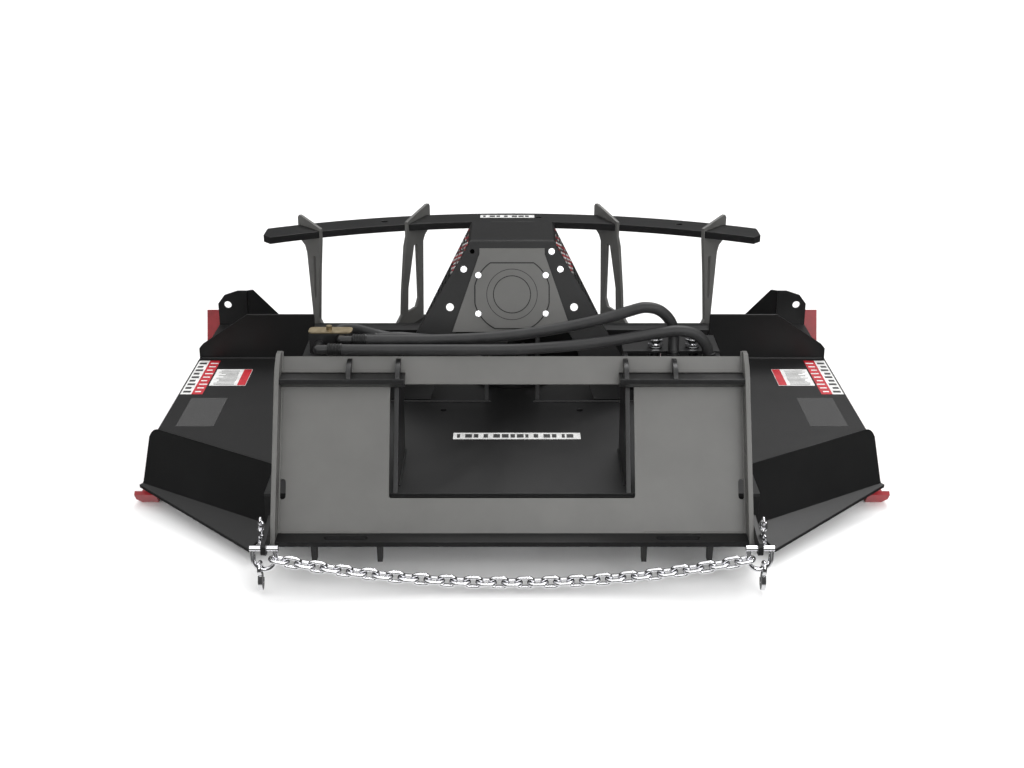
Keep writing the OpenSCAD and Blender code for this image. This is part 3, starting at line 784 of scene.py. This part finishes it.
@dataclass(frozen=True)
class GapShade:
    """Painted shade for one gap round the access cover: a dark disc or ring, with its sides cut straight,
    that stands for the shade in the gap.

    Args:
        radius: its outer radius in millimetres.
        half_width: where its sides are cut, from the middle.
        low: where its foot is cut, from the middle.
        high: where its top is cut, from the middle.
        rise: how far it stands off the hood's face.
        band: the width of a ring, or 0 for a full disc.
    """

    radius: float
    half_width: float
    low: float
    high: float
    rise: float
    band: float = 0.0


@dataclass
class CoverGapShade:
    """Painted shade: dark films round the access cover and its cap, standing for the shade in the gaps
    between them and the hood.
    """

    lean: float = 17.672
    foot: tuple[float, float] = (697.0, DECK_TOP)
    centre: float = 303.0
    steps: int = 96
    seams: tuple[GapShade, ...] = (
        GapShade(109.5, 106.5, -98.5, 90.5, 0.40),
        GapShade(53.5, 60.0, -60.0, 60.0, 5.40),
        GapShade(72.0, 80.0, -80.0, 80.0, 5.37, band=1.6))

    def place(self, x: float, s: float, n: float) -> Vector:
        """A point of the hood's leaning rear face.

        Args:
            x: across, in millimetres.
            s: up the slope from the deck.
            n: out of the face, towards the loader.

        Returns:
            The point in the row frame.
        """
        a = math.radians(self.lean)
        return lip(x, self.foot[0] + s * math.sin(a) - n * math.cos(a),
                   self.foot[1] + s * math.cos(a) + n * math.sin(a))

    def loop(self, bm: bmesh.types.BMesh, gap_shade: GapShade, scale: float) -> list[bmesh.types.BMVert]:
        """Add the outline of one painted shade band, without its faces.

        Args:
            bm: the bmesh to add to.
            gap_shade: the painted shade band.
            scale: the outline's size beside the band's outer edge.

        Returns:
            The outline's vertices in order.
        """
        verts = []
        for k in range(self.steps):
            a = math.tau * k / self.steps
            x = max(-gap_shade.half_width, min(gap_shade.half_width, gap_shade.radius * math.cos(a)))
            y = max(gap_shade.low, min(gap_shade.high, gap_shade.radius * math.sin(a)))
            verts.append(bm.verts.new(self.place(x * scale, self.centre + y * scale, gap_shade.rise)))
        return verts

    def build(self) -> None:
        """Make every painted shade band round the cover, as one piece."""
        bm = bmesh.new()
        for gap_shade in self.seams:
            outer = self.loop(bm, gap_shade, 1.0)
            if not gap_shade.band:
                bm.faces.new(outer)
                continue
            inner = self.loop(bm, gap_shade, (gap_shade.radius - gap_shade.band) / gap_shade.radius)
            for k in range(self.steps):
                m = (k + 1) % self.steps
                bm.faces.new((inner[k], outer[k], outer[m], inner[m]))
        # Painted shade: these dark bands stand for the shade in the gaps round the cover and its cap.
        object_from(bm, "cover_gap_shade", "deck", Finish.DARK)


@dataclass
class Fasteners:
    """Bolt heads and washers on the motor, the spindle, the hub and the stump jumper."""

    axis_y: float = 925.0
    washer: float = 1.6
    chamfer: float = 0.8

    def build(self) -> None:
        """Make every fastener."""
        up, down = Vector((0, 0, 1)), Vector((0, 0, -1))
        self.ring("motor_bolts", "deck", lip(0, self.axis_y, 224.1), 79, 4, 9.5, 7.0, up)
        self.ring("motor_cap_bolts", "deck", lip(0, self.axis_y, 356.1), 44, 6, 6.5, 5.0, up)
        self.ring("spindle_bolts", "deck", lip(0, self.axis_y, 206.1), 112, 8, 11.0, 7.5, up)
        self.ring("hub_bolts", "rotor", lip(0, self.axis_y, 113.1), 84, 8, 11.0, 8.0, up)
        self.ring("jumper_bolts", "rotor", lip(0, self.axis_y, 45.9), 130, 6, 12.0, 8.0, down)

    def ring(self, name: str, body: str, centre: Vector, radius: float, count: int, head: float,
             height: float, axis: Vector) -> None:
        """Make a ring of hex bolts with washers.

        Args:
            name: the piece's name.
            body: the CAD body that they ride on.
            centre: the ring's centre, on the surface.
            radius: the ring's radius in millimetres.
            count: how many bolts.
            head: half the width across a head's corners in millimetres.
            height: the head's height in millimetres.
            axis: out of the surface.
        """
        bm = bmesh.new()
        for k in range(count):
            a = math.tau * (k + 0.5) / count
            spot = centre + Vector((math.cos(a), math.sin(a), 0)) * radius * MM
            place = towards(spot, axis, Vector((math.cos(a), math.sin(a), 0)))
            wide, seat = head * 1.15, self.washer - 0.1
            lathe(bm, [(0.0, 0.0), (wide, 0.0), (wide, 1.2), (head * 1.08, self.washer), (0.0, self.washer)],
                  place, 24)
            lathe(bm, [(0.0, seat), (head, seat), (head, height - self.chamfer), (head * 0.88, height),
                       (0.0, height)], place, 6)
        object_from(bm, name, body, Finish.ZINC, smooth_angle=30.0)


@dataclass
class Decals:
    """Thin printed films on the deck, the hood and the bar, with made-up marks only."""

    film: float = 0.4
    ground: float = DECK_TOP + FILM_GAP
    print_level: float = DECK_TOP + 0.4
    hood_rows: int = 15
    hood_columns: int = 9
    hood_blank: float = 0.35

    def build(self) -> None:
        """Make every decal."""
        for side in (-1, 1):
            tag = "left" if side < 0 else "right"
            self.grip_patch(side, f"grip_patch_{tag}")
            self.panel(f"service_decal_{tag}", side, (778, 884), (820, 954), 12)
            self.edge_strip(f"edge_decal_{tag}", side)
            self.hood_side(f"hood_decal_{tag}", side)
        self.strip("deck_strip", lip(13, 450, 190.2), (340, 42))
        self.strip("bar_strip", lip(-16, 1690, 470.2), (184, 34))

    def sheet(self, bm: bmesh.types.BMesh, low: Vector, high: Vector, z: float, index: int) -> None:
        """Add a flat film between two corners at height z.

        Args:
            bm: the bmesh to add to.
            low: its lowest corner.
            high: its highest corner.
            z: its underside.
            index: its material index.
        """
        size = ((high.x - low.x) / MM, (high.y - low.y) / MM, self.film)
        centre = (low + high) / 2
        centre.z = z + self.film * MM / 2
        block(bm, size, Matrix.Translation(centre), 0.0, index)

    def grip_patch(self, side: int, name: str) -> None:
        """The non-slip patch near the deck's rear corner.

        Args:
            side: -1 on the left, 1 on the right.
            name: the piece's name.
        """
        bm = bmesh.new()
        xs = sorted((side * 811, side * 914))
        self.sheet(bm, lip(xs[0], 516, 0), lip(xs[1], 723, 0), self.ground * MM, 0)
        object_from(bm, name, "deck", Finish.GRIP)

    def panel(self, name: str, side: int, x: tuple[int, int], y: tuple[int, int], rows: int) -> None:
        """A white service decal with a red inner end and rows of short bars.

        Args:
            name: the piece's name.
            side: -1 on the left, 1 on the right.
            x: its two edges across the machine.
            y: its two edges along the machine.
            rows: how many bars it carries.
        """
        bm = bmesh.new()
        xs = sorted(side * v for v in x)
        self.sheet(bm, lip(xs[0], y[0], 0), lip(xs[1], y[1], 0), self.ground * MM, 0)
        red = sorted((side * x[0], side * (x[0] + 26)))
        self.sheet(bm, lip(red[0] + 1, y[0] + 2, 0), lip(red[1] - 1, y[1] - 2, 0), self.print_level * MM, 1)
        draw = random.Random(7)
        for row in range(rows):
            low = y[0] + 8 + row * (y[1] - y[0] - 14) / rows
            start = x[0] + 34 + draw.uniform(0, 3)
            stop = x[1] - 8 - draw.uniform(0, 26)
            bar = sorted((side * start, side * stop))
            self.sheet(bm, lip(bar[0], low, 0), lip(bar[1], low + 3.2, 0), self.print_level * MM, 2)
        object_from(bm, name, "deck", Finish.WHITE_FILM, Finish.RED_FILM, Finish.INK)

    def edge_strip(self, name: str, side: int) -> None:
        """The long decal at the deck's edge: a white outer half and a red inner half.

        Args:
            name: the piece's name.
            side: -1 on the left, 1 on the right.
        """
        bm = bmesh.new()
        outer = sorted((side * 953, side * 921))
        inner = sorted((side * 921, side * 889))
        self.sheet(bm, lip(outer[0], 752, 0), lip(outer[1], 1028, 0), self.ground * MM, 0)
        self.sheet(bm, lip(inner[0], 752, 0), lip(inner[1], 1028, 0), self.ground * MM, 1)
        for k in range(9):
            low = 764 + k * 29
            bar = sorted((side * 948, side * (926 + 5 * (k % 2))))
            self.sheet(bm, lip(bar[0], low, 0), lip(bar[1], low + 15, 0), self.print_level * MM, 2)
            cut = sorted((side * 914, side * (897 - 3 * (k % 3))))
            self.sheet(bm, lip(cut[0], low + 4, 0), lip(cut[1], low + 12, 0), self.print_level * MM, 0)
        object_from(bm, name, "deck", Finish.WHITE_FILM, Finish.RED_FILM, Finish.INK)

    def strip(self, name: str, centre: Vector, size: tuple[int, int]) -> None:
        """A white strip with a row of plain dark blocks.

        Args:
            name: the piece's name.
            centre: the middle of its underside.
            size: its width and depth in millimetres.
        """
        bm = bmesh.new()
        half = Vector((size[0] * MM / 2, size[1] * MM / 2, 0))
        self.sheet(bm, centre - half, centre + half, centre.z, 0)
        draw = random.Random(3)
        x = -size[0] / 2 + 10
        while x < size[0] / 2 - 24:
            wide = draw.choice((8, 12, 18))
            low = centre + Vector((x * MM, -size[1] * 0.28 * MM, 0))
            high = centre + Vector(((x + wide) * MM, size[1] * 0.28 * MM, 0))
            self.sheet(bm, low, high, centre.z + self.film * MM, 1)
            x += wide + draw.choice((5, 5, 14))
        object_from(bm, name, "deck", Finish.WHITE_FILM, Finish.INK)

    def hood_side(self, name: str, side: int) -> None:
        """Red and white blocks high on the hood's sloping side.

        Args:
            name: the piece's name.
            side: -1 on the left, 1 on the right.
        """
        low, high = (Vector(c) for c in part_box("motor_hood"))
        top_half = 118 * MM
        slope = Vector((side * (high.x - top_half), 0, -(high.z - low.z))).normalized()
        normal = Vector((side * abs(slope.z), 0, abs(slope.x)))
        top = Vector((side * top_half, LIP_Y + 945 * MM, high.z))
        bm = bmesh.new()
        draw = random.Random(11)
        for row in range(self.hood_rows):
            for col in range(self.hood_columns):
                if draw.random() < self.hood_blank:
                    continue
                down = 20 + row * 8
                along = Vector((0, (col - self.hood_columns // 2) * 20 * MM, 0))
                spot = top + slope * down * MM + along + normal * 0.3 * MM
                size = (draw.uniform(7, 16), 4.2, self.film)
                block(bm, size, towards(spot, normal, slope), 0.0, (row + col) % 2)
        object_from(bm, name, "deck", Finish.RED_FILM, Finish.WHITE_FILM)


@dataclass
class Studio:
    """Floor, soft lights, world and camera."""

    lens: float = 50.0
    pitch: float = 21.3
    back: float = 3042.0
    height: float = 1701.0
    room: tuple[tuple[float, float], ...] = (
        (-1.0, 0.75), (-0.66, 0.70), (-0.46, 0.05), (0.18, 0.05), (0.47, 0.08), (0.60, 0.85), (0.76, 1.0))
    room_light: float = 1.18
    sun_light: float = 1.0
    sun_blur: float = 24.0
    floor_grey: float = 0.93
    backdrop_glow: float = 0.42

    def camera(self) -> None:
        """Put the camera behind and above the machine."""
        data = bpy.data.cameras.new("camera")
        data.lens = self.lens
        data.sensor_width = 36.0
        obj = bpy.data.objects.new("camera", data)
        obj.location = lip(0, -self.back, self.height)
        obj.rotation_euler = (math.radians(90 - self.pitch), 0, 0)
        bpy.context.scene.collection.objects.link(obj)
        bpy.context.scene.camera = obj

    def area(self, name: str, place: Point, target: Point, size: tuple[float, float], power: float) -> None:
        """Add an area light that faces a point.

        Args:
            name: its name.
            place: where it stands.
            target: what it faces.
            size: its width and height in metres.
            power: its power in watts.
        """
        data = bpy.data.lights.new(name, "AREA")
        data.shape = "RECTANGLE"
        data.size, data.size_y = size
        data.energy = power
        obj = bpy.data.objects.new(name, data)
        obj.location = place
        aim = Vector(target) - Vector(place)
        obj.rotation_euler = aim.to_track_quat("-Z", "Y").to_euler()
        bpy.context.scene.collection.objects.link(obj)

    def floor(self) -> None:
        """A plain pale floor that sweeps up into a glowing backdrop, neither of them seen in reflections."""
        bm = bmesh.new()
        flat = [(0.0, 0.0), (9000.0, 0.0), (13000.0, 0.0)]
        sweep = [(13000.0, 0.0), (14500.0, 320.0), (15600.0, 1300.0), (16000.0, 2700.0), (16000.0, 9000.0)]
        lathe(bm, flat, Matrix.Identity(4), 96, 0)
        lathe(bm, sweep, Matrix.Identity(4), 96, 1)
        mesh = bpy.data.meshes.new("floor")
        bm.to_mesh(mesh)
        bm.free()
        mesh.shade_smooth()
        for name, glow in (("floor_paint", 0.0), ("backdrop_paint", self.backdrop_glow)):
            tree = NodeTree(name)
            tree.set(Base_Color=(*[self.floor_grey] * 3, 1.0), Roughness=0.9, Specular_IOR_Level=0.1,
                     Emission_Color=(1.0, 1.0, 1.0, 1.0), Emission_Strength=glow)
            mesh.materials.append(tree.material)
        obj = bpy.data.objects.new("floor", mesh)
        obj.visible_glossy = False
        bpy.context.scene.collection.objects.link(obj)

    def world(self) -> None:
        """A room that is bright overhead and underfoot, and dark between, so that black stays dark."""
        world = bpy.data.worlds.new("studio")
        world.use_nodes = True
        nodes, links = world.node_tree.nodes, world.node_tree.links
        split = nodes.new("ShaderNodeSeparateXYZ")
        height = nodes.new("ShaderNodeMapRange")
        ramp = nodes.new("ShaderNodeValToRGB")
        links.new(nodes.new("ShaderNodeTexCoord").outputs["Generated"], split.inputs["Vector"])
        links.new(split.outputs["Z"], height.inputs["Value"])
        height.inputs["From Min"].default_value = -1.0
        links.new(height.outputs["Result"], ramp.inputs["Fac"])
        while len(ramp.color_ramp.elements) < len(self.room):
            ramp.color_ramp.elements.new(0.5)
        for element, (rise, level) in zip(ramp.color_ramp.elements, self.room):
            element.position = 0.5 + rise / 2
            element.color = (level, level, level, 1.0)
        links.new(ramp.outputs["Color"], nodes["Background"].inputs["Color"])
        nodes["Background"].inputs["Strength"].default_value = self.room_light
        bpy.context.scene.world = world
        bpy.context.scene.view_settings.view_transform = "Standard"

    def sun(self) -> None:
        """A very soft key from above and in front of the machine."""
        data = bpy.data.lights.new("key", "SUN")
        data.energy = self.sun_light
        data.angle = math.radians(self.sun_blur)
        obj = bpy.data.objects.new("key", data)
        obj.rotation_euler = Vector((-0.25, -0.75, -1.0)).to_track_quat("-Z", "Y").to_euler()
        bpy.context.scene.collection.objects.link(obj)

    def build(self) -> None:
        """Make the whole studio."""
        self.camera()
        self.floor()
        self.world()
        self.sun()
        self.area("softbox_right", (2.9, -4.6, 3.2), (0.4, -0.7, 0.3), (3.2, 1.8), 70.0)
        self.area("softbox_low", (0.3, -7.0, 2.7), (0.0, 0.0, 0.5), (6.0, 1.3), 85.0)


def main() -> None:
    """Build everything in order."""
    logging.basicConfig(level=logging.INFO, format="%(name)s: %(message)s")
    Studio().build()
    Hoses().build()
    Steelwork().dress()
    AnchorLinks().build()
    Welds().build()
    CoverGapShade().build()
    Fasteners().build()
    Decals().build()
    bpy.context.view_layer.update()


if __name__ == "__main__":
    main()
